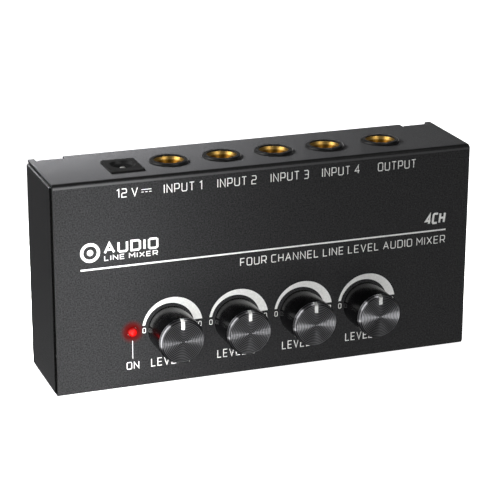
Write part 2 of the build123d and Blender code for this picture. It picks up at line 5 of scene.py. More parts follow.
import bmesh
import bpy
from bpy.props import FloatProperty, FloatVectorProperty, PointerProperty
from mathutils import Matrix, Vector


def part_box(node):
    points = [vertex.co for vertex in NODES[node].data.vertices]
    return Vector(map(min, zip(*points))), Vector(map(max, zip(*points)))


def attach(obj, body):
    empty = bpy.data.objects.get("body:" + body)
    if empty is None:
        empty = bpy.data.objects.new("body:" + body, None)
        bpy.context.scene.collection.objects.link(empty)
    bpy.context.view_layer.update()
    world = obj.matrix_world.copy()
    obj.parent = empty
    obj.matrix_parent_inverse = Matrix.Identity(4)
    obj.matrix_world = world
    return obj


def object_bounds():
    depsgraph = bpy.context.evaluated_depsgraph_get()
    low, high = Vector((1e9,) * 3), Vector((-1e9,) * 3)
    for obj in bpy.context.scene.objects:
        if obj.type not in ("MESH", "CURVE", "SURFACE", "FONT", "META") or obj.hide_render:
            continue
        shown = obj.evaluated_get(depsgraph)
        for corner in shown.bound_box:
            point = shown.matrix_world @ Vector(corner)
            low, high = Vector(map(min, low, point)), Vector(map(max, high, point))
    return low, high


bl_info = {
    "name": "Line Mixer Looks",
    "version": (1, 0, 0),
    "blender": (4, 5, 0),
    "location": "View3D > Sidebar > Line Mixer",
    "description": "Finishes, panel printing and studio for a compact line mixer",
    "category": "Object",
}

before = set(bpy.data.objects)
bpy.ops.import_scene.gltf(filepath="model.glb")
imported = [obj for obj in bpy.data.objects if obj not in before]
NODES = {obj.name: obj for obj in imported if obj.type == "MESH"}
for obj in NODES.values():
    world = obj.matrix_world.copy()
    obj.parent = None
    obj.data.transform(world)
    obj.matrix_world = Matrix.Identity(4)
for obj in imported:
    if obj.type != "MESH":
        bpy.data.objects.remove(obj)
CAD_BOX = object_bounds()

MM = 0.001
CHANNELS = 4
PANEL_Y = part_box("front_shell")[0].y
LENS_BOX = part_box("led_lens")
LENS_X = (LENS_BOX[0].x + LENS_BOX[1].x) / 2
LENS_Z = (LENS_BOX[0].z + LENS_BOX[1].z) / 2
JACKS = [f"input_jack_{number + 1}" for number in range(CHANNELS)] + ["output_jack"]


def middle(node):
    """The centre of a CAD node's box."""
    low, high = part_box(node)
    return (low + high) / 2


def linear(hex_code):
    """The linear colour of an sRGB hex value."""
    shares = [int(hex_code[i : i + 2], 16) / 255 for i in (1, 3, 5)]
    return tuple(c / 12.92 if c <= 0.04045 else ((c + 0.055) / 1.055) ** 2.4 for c in shares)


# ---------------------------------------------------------------- settings


def length_setting(name, description, default_mm):
    return FloatProperty(
        name=name, description=description, default=default_mm * MM, unit="LENGTH", precision=5
    )


def colour_setting(name, description, hex_code):
    return FloatVectorProperty(
        name=name, description=description, subtype="COLOR", size=3, min=0, max=1, default=linear(hex_code)
    )


class PrintSizes(bpy.types.PropertyGroup):
    """Sizes of what is screen printed on the panel."""

    ink_proud: length_setting("Ink height", "How far the ink stands out from the panel", 0.03)
    label_height: length_setting("Label height", "Capital height of the words over the jacks and knobs", 2.5)
    label_stroke: length_setting("Label stroke", "Line width of the labels", 0.27)
    number_stroke: length_setting("Number stroke", "Line width of the numbers and the supply sign", 0.2)
    leader_stroke: length_setting("Leader stroke", "Line width of the indicator's leader", 0.18)
    rule_height: length_setting("Rule", "Width of the long line across the panel", 0.5)
    scale_inner: length_setting("Scale inner radius", "Inner radius of a level scale", 7.85)
    scale_outer: length_setting("Scale outer radius", "Outer radius of a level scale", 9.6)
    scale_shift: length_setting("Scale shift", "How far the outer circle's centre lies to the right", 0.95)
    scale_foot: length_setting("Scale foot", "Height of the scale's cut ends above the knob's axis", 1.6)


class FinishColours(bpy.types.PropertyGroup):
    """Colours of the finishes."""

    coat: colour_setting("Powder coat", "Dark grey coat of the case", "#131314")
    coat_fleck: colour_setting("Powder coat fleck", "Lighter grains of the coat", "#363637")
    ink: colour_setting("Ink", "White of the printed panel", "#f2f2f0")
    knob: colour_setting("Knob", "Glossy black of the knobs", "#09090a")
    cap: colour_setting("Cap", "Dark spun aluminium of the knobs' faces", "#b4b4b7")
    brass: colour_setting("Brass", "Gold tone inside the jacks", "#d2ab5e")
    lens: colour_setting("Lens", "Red of the lit indicator", "#e00a08")


class StudioSizes(bpy.types.PropertyGroup):
    """The studio round the mixer."""

    floor_size: length_setting("Floor", "Side of the square floor", 6000)
    floor_colour: colour_setting("Floor colour", "Pale floor", "#f4f4f4")


# ---------------------------------------------------------------- materials


def add_node(tree, kind, sockets=(), links=(), **settings):
    """Adds one shader node with its settings, its sockets' values and the links that feed it."""
    made = tree.nodes.new(kind)
    for key, value in settings.items():
        setattr(made, key, value)
    for key, value in dict(sockets).items():
        made.inputs[key].default_value = value
    for key, source in dict(links).items():
        tree.links.new(source, made.inputs[key])
    return made


def new_material(name, **sockets):
    """A material with its shader's constants set, and its place in millimetres to draw patterns by."""
    material = bpy.data.materials.new(name)
    material.use_nodes = True
    tree = material.node_tree
    tree.nodes.clear()
    values = {key.replace("_", " "): value for key, value in sockets.items()}
    shader = add_node(tree, "ShaderNodeBsdfPrincipled", values)
    add_node(tree, "ShaderNodeOutputMaterial", links={"Surface": shader.outputs["BSDF"]})
    spot = add_node(tree, "ShaderNodeTexCoord")
    place = add_node(
        tree, "ShaderNodeVectorMath", {1: (1 / MM,) * 3}, {0: spot.outputs["Object"]}, operation="MULTIPLY"
    )
    return material, tree, shader, place.outputs[0]


def colour4(colour):
    return (*colour, 1.0)


def grained(name, dark, light, grain_mm, bump_mm, rough_low, rough_high, **sockets):
    """A surface whose colour, gloss and height vary with a grain of a real size."""
    material, tree, shader, place = new_material(name, **sockets)
    texture = {"Scale": 1 / grain_mm, "Detail": 3.0, "Roughness": 0.6}
    grain = add_node(tree, "ShaderNodeTexNoise", texture, {"Vector": place})
    # most of the noise lies between 0.3 and 0.7, which is spread over the whole range
    spread = add_node(
        tree, "ShaderNodeMapRange", {"From Min": 0.3, "From Max": 0.7}, {"Value": grain.outputs["Fac"]}
    )
    tone = add_node(
        tree,
        "ShaderNodeMix",
        {6: colour4(dark), 7: colour4(light)},
        {0: spread.outputs[0]},
        data_type="RGBA",
    )
    rough = add_node(
        tree,
        "ShaderNodeMapRange",
        {"To Min": rough_low, "To Max": rough_high},
        {"Value": spread.outputs[0]},
    )
    bump = add_node(tree, "ShaderNodeBump", {"Distance": bump_mm * MM}, {"Height": spread.outputs[0]})
    tree.links.new(tone.outputs[2], shader.inputs["Base Color"])
    tree.links.new(rough.outputs[0], shader.inputs["Roughness"])
    tree.links.new(bump.outputs[0], shader.inputs["Normal"])
    return material, tree, shader, place


def dress(material, *names):
    """Puts a material on CAD nodes, which keep their meshes."""
    for name in names:
        for slot in NODES[name].material_slots:
            slot.material = material


def distance_from(tree, place, centre_mm, flatten=(1, 1, 1)):
    """Distance in millimetres from a point, along the axes that flatten keeps."""
    away = add_node(tree, "ShaderNodeVectorMath", {1: centre_mm}, {0: place}, operation="SUBTRACT")
    kept = add_node(tree, "ShaderNodeVectorMath", {1: flatten}, {0: away.outputs[0]}, operation="MULTIPLY")
    length = add_node(tree, "ShaderNodeVectorMath", links={0: kept.outputs[0]}, operation="LENGTH")
    return length.outputs["Value"]


def powder_coated_steel(colours):
    # Baked polyester powder on steel sheet: satin, with a fine orange peel and lighter flecks. The
    # grain is drawn at 0.45 mm, about twice the real one, so that it shows.
    material, tree, shader, place = grained(
        "powder_coated_steel",
        colours.coat,
        colours.coat_fleck,
        0.45,
        0.025,
        0.42,
        0.58,
        Specular_IOR_Level=0.16,
    )
    # painted shade and painted highlight: a dark band and a light line along the top fold, picked out by the
    # way the surface faces
    facing = add_node(tree, "ShaderNodeTexCoord")
    shade = shader.inputs["Base Color"].links[0].from_socket
    for tilt_degrees, least_share, hex_code in ((33, 0.88, "#060606"), (74, 0.965, "#4e4e4f")):
        tilt = math.radians(tilt_degrees)
        along = add_node(
            tree,
            "ShaderNodeVectorMath",
            {1: (0, -math.sin(tilt), math.cos(tilt))},
            {0: facing.outputs["Normal"]},
            operation="DOT_PRODUCT",
        )
        share = add_node(
            tree,
            "ShaderNodeMapRange",
            {"From Min": least_share, "From Max": 0.995},
            {"Value": along.outputs["Value"]},
            interpolation_type="SMOOTHSTEP",
        )
        # mixes the painted fold shade, then the painted fold highlight, into the coat's colour
        painted_fold_shade_and_highlight = add_node(
            tree,
            "ShaderNodeMix",
            {7: colour4(linear(hex_code))},
            {0: share.outputs[0], 6: shade},
            data_type="RGBA",
        )
        shade = painted_fold_shade_and_highlight.outputs[2]
    # the lit indicator's red light on the coat round it
    lens_mm = (LENS_X / MM, PANEL_Y / MM, LENS_Z / MM)
    near = distance_from(tree, place, lens_mm)
    near_share = add_node(
        tree,
        "ShaderNodeMapRange",
        {"From Min": 1.4, "From Max": 4.4, "To Min": 1.0, "To Max": 0.0},
        {"Value": near},
        interpolation_type="SMOOTHERSTEP",
    )
    red = add_node(
        tree,
        "ShaderNodeMix",
        {7: colour4(linear("#200000"))},
        {0: near_share.outputs[0], 6: shade},
        data_type="RGBA",
    )
    glow = add_node(tree, "ShaderNodeMath", {1: 0.3}, {0: near_share.outputs[0]}, operation="MULTIPLY")
    shader.inputs["Emission Color"].default_value = colour4(linear("#c00806"))
    tree.links.new(red.outputs[2], shader.inputs["Base Color"])
    tree.links.new(glow.outputs[0], shader.inputs["Emission Strength"])
    return material


def screen_ink(colours):
    # Two-part epoxy ink pulled through a mesh: flat white with a faint unevenness.
    return grained("screen_printed_ink", linear("#dededc"), colours.ink, 0.6, 0.003, 0.5, 0.62)[0]


def moulded_knob_plastic(colours):
    # ABS from a polished mould: black with a near mirror gloss.
    return grained(
        "polished_abs", linear("#050506"), colours.knob, 1.2, 0.0001, 0.19, 0.22, Specular_IOR_Level=0.14
    )[0]


def spun_cap_metal(colours):
    # Aluminium faced on a lathe and dyed: each tool mark is a ring, so light fans out in wedges.
    material, tree, shader, _ = new_material(
        "faced_anodised_aluminium", Metallic=1.0, Roughness=0.33, Anisotropic=0.92, Anisotropic_Rotation=0.25
    )
    spot = add_node(tree, "ShaderNodeTexCoord")
    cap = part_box("knob_1_cap")
    width_mm = (cap[1].x - cap[0].x) / MM
    across = add_node(
        tree,
        "ShaderNodeVectorMath",
        {1: (width_mm,) * 3},
        {0: spot.outputs["Generated"]},
        operation="MULTIPLY",
    )
    radius = distance_from(tree, across.outputs[0], (width_mm / 2,) * 3, (1, 0, 1))
    # tool marks, drawn coarser than the real 0.2 mm so that they show
    mark_spacing_mm = 0.5
    turns = add_node(
        tree, "ShaderNodeMath", {1: 2 * math.pi / mark_spacing_mm}, {0: radius}, operation="MULTIPLY"
    )
    marks = add_node(tree, "ShaderNodeMath", links={0: turns.outputs[0]}, operation="SINE")
    level = add_node(
        tree, "ShaderNodeMapRange", {"From Min": -1.0, "From Max": 1.0}, {"Value": marks.outputs[0]}
    )
    groove_share = 0.12
    dark = tuple(c * groove_share for c in colours.cap)
    tone = add_node(
        tree,
        "ShaderNodeMix",
        {6: colour4(dark), 7: colour4(colours.cap)},
        {0: level.outputs[0]},
        data_type="RGBA",
    )
    bump = add_node(tree, "ShaderNodeBump", {"Distance": 0.02 * MM}, {"Height": level.outputs[0]})
    along = add_node(tree, "ShaderNodeTangent", direction_type="RADIAL", axis="Y")
    tree.links.new(tone.outputs[2], shader.inputs["Base Color"])
    tree.links.new(bump.outputs[0], shader.inputs["Normal"])
    tree.links.new(along.outputs[0], shader.inputs["Tangent"])
    return material


def turned_brass(colours):
    # Brass turned inside and plated: gold, with fine tool rings round the bore.
    material, tree, shader, place = new_material("turned_brass", Metallic=1.0)
    rings = add_node(
        tree,
        "ShaderNodeTexWave",
        {"Scale": 0.55, "Distortion": 0.6, "Detail": 2.0},
        {"Vector": place},
        bands_direction="Z",
    )
    tone = add_node(
        tree,
        "ShaderNodeMix",
        {6: colour4(linear("#c39a4e")), 7: colour4(colours.brass)},
        {0: rings.outputs["Fac"]},
        data_type="RGBA",
    )
    # painted shade in the bore: the funnel's rim keeps the light gold, and the wall below it is darkened to
    # amber with depth
    top_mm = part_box("input_jack_1_sleeve")[1].z / MM
    height = add_node(tree, "ShaderNodeSeparateXYZ", links={0: place})
    depth = add_node(tree, "ShaderNodeMath", {0: top_mm}, {1: height.outputs["Z"]}, operation="SUBTRACT")
    painted_bore_shade = add_node(
        tree,
        "ShaderNodeMapRange",
        {"From Min": 0.45, "From Max": 1.1},
        {"Value": depth.outputs[0]},
        interpolation_type="SMOOTHSTEP",
    )
    # mixes the painted bore shade into the gold
    colour = add_node(
        tree,
        "ShaderNodeMix",
        {7: colour4(linear("#6e4a14"))},
        {0: painted_bore_shade.outputs[0], 6: tone.outputs[2]},
        data_type="RGBA",
    )
    rough = add_node(
        tree, "ShaderNodeMapRange", {"To Min": 0.34, "To Max": 0.4}, {"Value": rings.outputs["Fac"]}
    )
    bump = add_node(tree, "ShaderNodeBump", {"Distance": 0.0008 * MM}, {"Height": rings.outputs["Fac"]})
    tree.links.new(colour.outputs[2], shader.inputs["Base Color"])
    tree.links.new(rough.outputs[0], shader.inputs["Roughness"])
    tree.links.new(bump.outputs[0], shader.inputs["Normal"])
    return material


def lit_lens(colours):
    # Clear red epoxy cast over a lit chip: brightest over the chip, deep red towards the edge.
    material, tree, shader, place = new_material("cast_epoxy_lens", Roughness=0.16, Specular_IOR_Level=0.5)
    axis_mm = (LENS_X / MM, 0, LENS_Z / MM)
    radius = distance_from(tree, place, axis_mm, (1, 0, 1))
    glow = add_node(
        tree,
        "ShaderNodeMapRange",
        {"From Min": 0.2, "From Max": 1.75, "To Min": 0.95, "To Max": 0.1},
        {"Value": radius},
        interpolation_type="SMOOTHSTEP",
    )
    tone = add_node(
        tree,
        "ShaderNodeMix",
        {6: colour4(linear("#5a0303")), 7: colour4(colours.lens)},
        {0: glow.outputs[0]},
        data_type="RGBA",
    )
    tree.links.new(tone.outputs[2], shader.inputs["Base Color"])
    tree.links.new(tone.outputs[2], shader.inputs["Emission Color"])
    tree.links.new(glow.outputs[0], shader.inputs["Emission Strength"])
    return material


# ---------------------------------------------------------------- printing

# Each letter is drawn by strokes in a box 1 wide and 1 high; the number is its width over its height.
LETTERS = {
    "A": (0.68, [[(0, 0), (0.5, 1), (1, 0)], [(0.18, 0.34), (0.82, 0.34)]]),
    "C": (0.58, [[(1, 0), (0.16, 0), (0, 0.12), (0, 0.88), (0.16, 1), (1, 1)]]),
    "D": (0.62, [[(0, 0), (0.8, 0), (1, 0.14), (1, 0.86), (0.8, 1), (0, 1), (0, 0)]]),
    "E": (0.54, [[(1, 0), (0, 0), (0, 1), (1, 1)], [(0, 0.5), (0.9, 0.5)]]),
    "F": (0.52, [[(0, 0), (0, 1), (1, 1)], [(0, 0.48), (0.88, 0.48)]]),
    "H": (0.6, [[(0, 0), (0, 1)], [(1, 0), (1, 1)], [(0, 0.5), (1, 0.5)]]),
    "I": (0.0, [[(0, 0), (0, 1)]]),
    "L": (0.5, [[(0, 1), (0, 0), (1, 0)]]),
    "M": (0.74, [[(0, 0), (0, 1), (0.5, 0.4), (1, 1), (1, 0)]]),
    "N": (0.62, [[(0, 0), (0, 1), (1, 0), (1, 1)]]),
    "O": (
        0.62,
        [[(0.16, 0), (0.84, 0), (1, 0.12), (1, 0.88), (0.84, 1), (0.16, 1), (0, 0.88), (0, 0.12), (0.16, 0)]],
    ),
    "P": (0.58, [[(0, 0), (0, 1), (0.84, 1), (1, 0.88), (1, 0.5), (0.84, 0.38), (0, 0.38)]]),
    "R": (
        0.6,
        [[(0, 0), (0, 1), (0.84, 1), (1, 0.88), (1, 0.52), (0.84, 0.4), (0, 0.4)], [(0.55, 0.4), (1, 0)]],
    ),
    "T": (0.58, [[(0, 1), (1, 1)], [(0.5, 0), (0.5, 1)]]),
    "U": (0.62, [[(0, 1), (0, 0.12), (0.16, 0), (0.84, 0), (1, 0.12), (1, 1)]]),
    "V": (0.64, [[(0, 1), (0.5, 0), (1, 1)]]),
    "X": (0.64, [[(0, 0), (1, 1)], [(0, 1), (1, 0)]]),
    "0": (
        0.54,
        [[(0.18, 0), (0.82, 0), (1, 0.12), (1, 0.88), (0.82, 1), (0.18, 1), (0, 0.88), (0, 0.12), (0.18, 0)]],
    ),
    "1": (0.24, [[(0, 0.84), (1, 1), (1, 0)]]),
    "2": (
        0.56,
        [[(0, 1), (0.84, 1), (1, 0.88), (1, 0.6), (0.84, 0.5), (0.16, 0.5), (0, 0.38), (0, 0), (1, 0)]],
    ),
    "3": (0.56, [[(0, 1), (0.84, 1), (1, 0.88), (1, 0.12), (0.84, 0), (0, 0)], [(0.2, 0.5), (1, 0.5)]]),
    "4": (0.6, [[(0.74, 0), (0.74, 1), (0, 0.3), (1, 0.3)]]),
    "-": (0.3, [[(0, 0.45), (1, 0.45)]]),
}
# gaps as shares of the letters' height, and the sharpest corner's share of a full mitre
LETTER_GAP = 0.34
WORD_GAP = 0.72
LEAST_MITRE = 0.45


def word_strokes(words, left, right, low, high, slant=0.0):
    """Strokes, as runs of (x, z) points, for words that fill the box given."""
    height = high - low
    runs = []
    pen = 0.0
    for letter in words:
        if letter == " ":
            pen += WORD_GAP - LETTER_GAP
            continue
        width, strokes = LETTERS[letter]
        runs += [[(pen + x * width, z) for x, z in stroke] for stroke in strokes]
        pen += width + LETTER_GAP
    stretch = (right - left) / (pen - LETTER_GAP)
    return [[(left + x * stretch + z * slant * height, low + z * height) for x, z in run] for run in runs]


def ribbon_sides(run, width):
    """Left and right edges of a line of that width drawn along a run of points, mitred at its corners."""
    closed = run[0] == run[-1]
    points = [Vector(p) for p in (run[:-1] if closed else run)]
    count = len(points)
    left, right = [], []
    for i, point in enumerate(points):
        before = points[i - 1] if closed or i > 0 else None
        after = points[(i + 1) % count] if closed or i < count - 1 else None
        into = (point - before).normalized() if before is not None else None
        out = (after - point).normalized() if after is not None else None
        into = out if into is None else into
        out = into if out is None else out
        across = Vector((-(into.y + out.y), into.x + out.x)).normalized()
        reach = width / 2 / max(LEAST_MITRE, across.dot(Vector((-into.y, into.x))))
        left.append(point + across * reach)
        right.append(point - across * reach)
    return left, right, closed


def add_prism(mesh, left, right, closed, back_y, front_y):
    """A flat closed solid between two edges given as (x, z), from back_y to front_y."""
    edges = ((left, front_y), (right, front_y), (left, back_y), (right, back_y))
    fl, fr, bl, br = [[mesh.verts.new((p[0], y, p[1])) for p in side] for side, y in edges]
    count = len(left)
    for i in range(count if closed else count - 1):
        j = (i + 1) % count
        mesh.faces.new((fl[i], fr[i], fr[j], fl[j]))
        mesh.faces.new((bl[i], bl[j], br[j], br[i]))
        mesh.faces.new((fl[i], fl[j], bl[j], bl[i]))
        mesh.faces.new((fr[i], br[i], br[j], fr[j]))
    if not closed:
        mesh.faces.new((fl[0], bl[0], br[0], fr[0]))
        mesh.faces.new((fl[-1], fr[-1], br[-1], bl[-1]))


def print_piece(name, material, runs=(), bands=(), width=0.0, proud=0.0):
    """One printed piece on the panel, from lines of one width and from bands given by their two edges."""
    mesh = bmesh.new()
    back_y, front_y = PANEL_Y + proud / 2, PANEL_Y - proud
    for run in runs:
        add_prism(mesh, *ribbon_sides(run, width), back_y, front_y)
    for left, right in bands:
        add_prism(mesh, left, right, False, back_y, front_y)
    bmesh.ops.recalc_face_normals(mesh, faces=mesh.faces)
    data = bpy.data.meshes.new(name)
    mesh.to_mesh(data)
    mesh.free()
    data.materials.append(material)
    piece = bpy.data.objects.new(name, data)
    bpy.context.scene.collection.objects.link(piece)
    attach(piece, "case")
    return piece


def block(left, right, low, high):
    """A filled rectangle as a band."""
    return ([(left, low), (left, high)], [(right, low), (right, high)])


def from_left(x_mm):
    """A place across the panel, measured from the shell's left edge."""
    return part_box("front_shell")[0].x + x_mm * MM


def ink():
    return bpy.data.materials.get("screen_printed_ink") or screen_ink(bpy.context.scene.mixer_colours)


def scale_band(centre, sizes, steps=72):
    """The crescent round a knob: thin where the level is low and thick where it is high."""
    shift = sizes.scale_shift
    foot = sizes.scale_foot
    inner_end = math.asin(foot / sizes.scale_inner)
    outer_end = math.asin(foot / sizes.scale_outer)
    inner, outer = [], []
    for i in range(steps + 1):
        share = i / steps
        a = math.pi - inner_end - share * (math.pi - 2 * inner_end)
        b = math.pi - outer_end - share * (math.pi - 2 * outer_end)
        inner.append((centre.x + sizes.scale_inner * math.cos(a), centre.z + sizes.scale_inner * math.sin(a)))
        outer_x = centre.x + shift + sizes.scale_outer * math.cos(b)
        outer.append((outer_x, centre.z + sizes.scale_outer * math.sin(b)))
    return inner, outer


class MIXER_OT_case_finish(bpy.types.Operator):
    """Powder coats the folded shell and cover"""

    bl_idname = "mixer.case_finish"
    bl_label = "Case finish"

    def execute(self, context):
        dress(powder_coated_steel(context.scene.mixer_colours), "front_shell", "back_cover")
        return {"FINISHED"}


class MIXER_OT_knob_finish(bpy.types.Operator):
    """Gives the knobs their black bodies, spun caps and white lines"""

    bl_idname = "mixer.knob_finish"
    bl_label = "Knob finish"

    def execute(self, context):
        colours = context.scene.mixer_colours
        numbers = range(1, CHANNELS + 1)
        dress(moulded_knob_plastic(colours), *[f"knob_{n}_body" for n in numbers])
        dress(spun_cap_metal(colours), *[f"knob_{n}_cap" for n in numbers])
        # enamel filled into a milled slot: white and slightly glossy
        line = grained("filled_enamel", linear("#e4e4e2"), linear("#f6f6f4"), 0.8, 0.002, 0.3, 0.4)[0]
        dress(line, *[f"knob_{n}_pointer" for n in numbers])
        return {"FINISHED"}


class MIXER_OT_jack_finish(bpy.types.Operator):
    """Gives the quarter-inch jacks their black housings, brass sleeves and bronze springs"""

    bl_idname = "mixer.jack_finish"
    bl_label = "Jack finish"

    def execute(self, context):
        colours = context.scene.mixer_colours
        # glass-filled nylon from a spark-eroded mould: black, with a soft sheen
        body = grained(
            "moulded_nylon",
            linear("#0a0a0a"),
            linear("#131313"),
            0.5,
            0.002,
            0.28,
            0.4,
            Specular_IOR_Level=0.3,
        )[0]
        dress(body, *[f"{jack}_housing" for jack in JACKS])
        dress(turned_brass(colours), *[f"{jack}_sleeve" for jack in JACKS])
        # rolled phosphor bronze strip: reddish, with a drawn grain
        spring = grained(
            "rolled_phosphor_bronze",
            linear("#9c6b3f"),
            linear("#c08a55"),
            0.4,
            0.002,
            0.25,
            0.4,
            Metallic=1.0,
        )[0]
        dress(spring, *[f"{jack}_contacts" for jack in JACKS])
        return {"FINISHED"}


class MIXER_OT_power_jack_finish(bpy.types.Operator):
    """Gives the power socket its dark plastic body and bright pin"""

    bl_idname = "mixer.power_jack_finish"
    bl_label = "Power socket finish"

    def execute(self, context):
        # PBT from a textured mould: dark grey and nearly matt
        body = grained(
            "moulded_pbt", linear("#070707"), linear("#0e0e0e"), 0.4, 0.004, 0.4, 0.5, Specular_IOR_Level=0.25
        )[0]
        dress(body, "dc_jack_housing")
        # brass pin under satin nickel: pale, with a soft highlight and faint pitting
        pin = grained(
            "nickel_plated_brass", linear("#c9c9c6"), linear("#ecece8"), 0.3, 0.001, 0.38, 0.46, Metallic=1.0
        )[0]
        dress(pin, "dc_jack_pin")
        return {"FINISHED"}


class MIXER_OT_indicator_finish(bpy.types.Operator):
    """Lights the red indicator"""

    bl_idname = "mixer.indicator_finish"
    bl_label = "Indicator finish"

    def execute(self, context):
        dress(lit_lens(context.scene.mixer_colours), "led_lens")
        return {"FINISHED"}


class MIXER_OT_hardware_finish(bpy.types.Operator):
    """Finishes the screws, feet, board and everything else inside and behind"""

    bl_idname = "mixer.hardware_finish"
    bl_label = "Hardware finish"

    def execute(self, context):
        numbers = range(1, CHANNELS + 1)
        # steel screws under black zinc: dark, with worn high spots
        screws = grained(
            "black_zinc_steel", linear("#161616"), linear("#3a3a3a"), 0.5, 0.003, 0.3, 0.45, Metallic=1.0
        )[0]
        dress(screws, "cover_screws")
        # moulded rubber: black and matt, with a dusty bloom
        dress(
            grained("moulded_rubber", linear("#101010"), linear("#1e1e1e"), 0.6, 0.01, 0.7, 0.85)[0],
            "rubber_feet",
        )
        # tin-plated steel: bright, clouded
        steel = grained(
            "tin_plated_steel", linear("#a9a9a6"), linear("#cfcfcc"), 0.9, 0.002, 0.25, 0.38, Metallic=1.0
        )[0]
        dress(
            steel,
            "clinch_nuts",
            "board_standoffs",
            "board_screws",
            "led_leads",
            "pot_terminals",
            "dc_jack_contacts",
            *[f"pot_{n}_bushing" for n in numbers],
        )
        # reflowed tin solder: bright and slightly wrinkled
        dress(
            grained(
                "reflowed_solder", linear("#b9b9ba"), linear("#e0e0e0"), 0.3, 0.01, 0.18, 0.3, Metallic=1.0
            )[0],
            "solder_joints",
        )
        # glass-fibre laminate under solder mask: deep green and glossy, with the weave just showing
        dress(
            grained("masked_laminate", linear("#08260f"), linear("#0d3a1b"), 0.7, 0.003, 0.25, 0.35)[0],
            "circuit_board",
        )
        # phenolic pot bodies: black and satin
        dress(
            grained("moulded_phenolic", linear("#141414"), linear("#222222"), 0.5, 0.004, 0.4, 0.5)[0],
            *[f"pot_{n}_base" for n in numbers],
        )
        # aluminium shafts turned bright: pale, with a fine tool grain
        dress(
            grained(
                "turned_aluminium", linear("#a8a8aa"), linear("#d2d2d4"), 0.3, 0.003, 0.2, 0.3, Metallic=1.0
            )[0],
            *[f"pot_{n}_shaft" for n in numbers],
        )
        # natural nylon spacer: milky white
        dress(
            grained("natural_nylon", linear("#d8d5ca"), linear("#ebe8de"), 0.8, 0.002, 0.4, 0.5)[0],
            "led_spacer",
        )
        # epoxy moulding compound: black, with a fine matt grain
        dress(
            grained("moulded_epoxy", linear("#0f0f10"), linear("#1c1c1d"), 0.3, 0.006, 0.5, 0.65)[0],
            "op_amp_chips",
            "voltage_regulator",
        )
        # drawn aluminium cans: pale and satin
        dress(
            grained(
                "drawn_aluminium", linear("#9d9da0"), linear("#c6c6c9"), 0.5, 0.002, 0.25, 0.35, Metallic=1.0
            )[0],
            "electrolytic_capacitors",
        )
        # glazed alumina chips: black and glassy
        dress(
            grained("glazed_alumina", linear("#161414"), linear("#2a2625"), 0.3, 0.002, 0.2, 0.3)[0],
            "chip_resistors",
        )
        return {"FINISHED"}


class MIXER_OT_socket_labels(bpy.types.Operator):
    """Prints the labels under the sockets"""

    bl_idname = "mixer.socket_labels"
    bl_label = "Socket labels"

    def execute(self, context):
        sizes = context.scene.mixer_print
        low = 60.68 * MM
        high = low + sizes.label_height
        spans = [
            ("INPUT 1", 33.95, 45.6),
            ("INPUT 2", 50.65, 62.8),
            ("INPUT 3", 67.6, 79.65),
            ("INPUT 4", 84.25, 96.4),
            ("OUTPUT", 102.7, 115.25),
            ("12", 19.4, 22.35),
            ("V", 24.0, 25.7),
        ]
        runs = []
        for words, left, right in spans:
            runs += word_strokes(words, from_left(left), from_left(right), low, high)
        # direct current sign: a line over three dashes
        sign_left, sign_right, dash_length, dash_pitch = 26.9, 30.0, 0.7, 1.2
        upper, lower = low + 1.7 * MM, low + 0.95 * MM
        sign = [[(from_left(sign_left), upper), (from_left(sign_right), upper)]]
        for dash in range(3):
            start = sign_left + dash * dash_pitch
            sign.append([(from_left(start), lower), (from_left(start + dash_length), lower)])
        print_piece("socket_labels", ink(), runs, width=sizes.label_stroke, proud=sizes.ink_proud)
        print_piece("supply_sign", ink(), sign, width=sizes.number_stroke, proud=sizes.ink_proud)
        return {"FINISHED"}


class MIXER_OT_level_scales(bpy.types.Operator):
    """Prints a scale, its end numbers and a label round each knob"""

    bl_idname = "mixer.level_scales"
    bl_label = "Level scales"

    def execute(self, context):
        sizes = context.scene.mixer_print
        for number in range(1, CHANNELS + 1):
            centre = middle(f"knob_{number}_body")
            band = scale_band(centre, sizes)
            print_piece(f"level_scale_{number}", ink(), bands=[band], proud=sizes.ink_proud)
            low, high = centre.z - 0.75 * MM, centre.z + 0.7 * MM
            zero_left = centre.x - 8.45 * MM
            ten_left = centre.x + 8.35 * MM
            runs = word_strokes("0", zero_left, zero_left + 0.85 * MM, low, high)
            runs += word_strokes("10", ten_left, ten_left + 1.75 * MM, low, high)
            ends = f"level_numbers_{number}"
            print_piece(ends, ink(), runs, width=sizes.number_stroke, proud=sizes.ink_proud)
            left = centre.x - 5.85 * MM
            runs = word_strokes(f"LEVEL {number}", left, left + 12.0 * MM, 6.2 * MM, 6.2 * MM + 2.4 * MM)
            label = f"level_label_{number}"
            print_piece(label, ink(), runs, width=sizes.label_stroke, proud=sizes.ink_proud)
        return {"FINISHED"}


class MIXER_OT_panel_rule(bpy.types.Operator):
    """Prints the long line across the panel and the description under it"""

    bl_idname = "mixer.panel_rule"
    bl_label = "Panel rule"

    def execute(self, context):
        sizes = context.scene.mixer_print
        middle_z = 39.35 * MM
        half = sizes.rule_height / 2
        rule = block(from_left(7.9), from_left(126.25), middle_z - half, middle_z + half)
        print_piece("panel_rule", ink(), bands=[rule], proud=sizes.ink_proud)
        runs = word_strokes(
            "FOUR CHANNEL LINE LEVEL AUDIO MIXER", from_left(57.9), from_left(126.05), 35.1 * MM, 37.4 * MM
        )
        print_piece("panel_description", ink(), runs, width=sizes.label_stroke, proud=sizes.ink_proud)
        return {"FINISHED"}


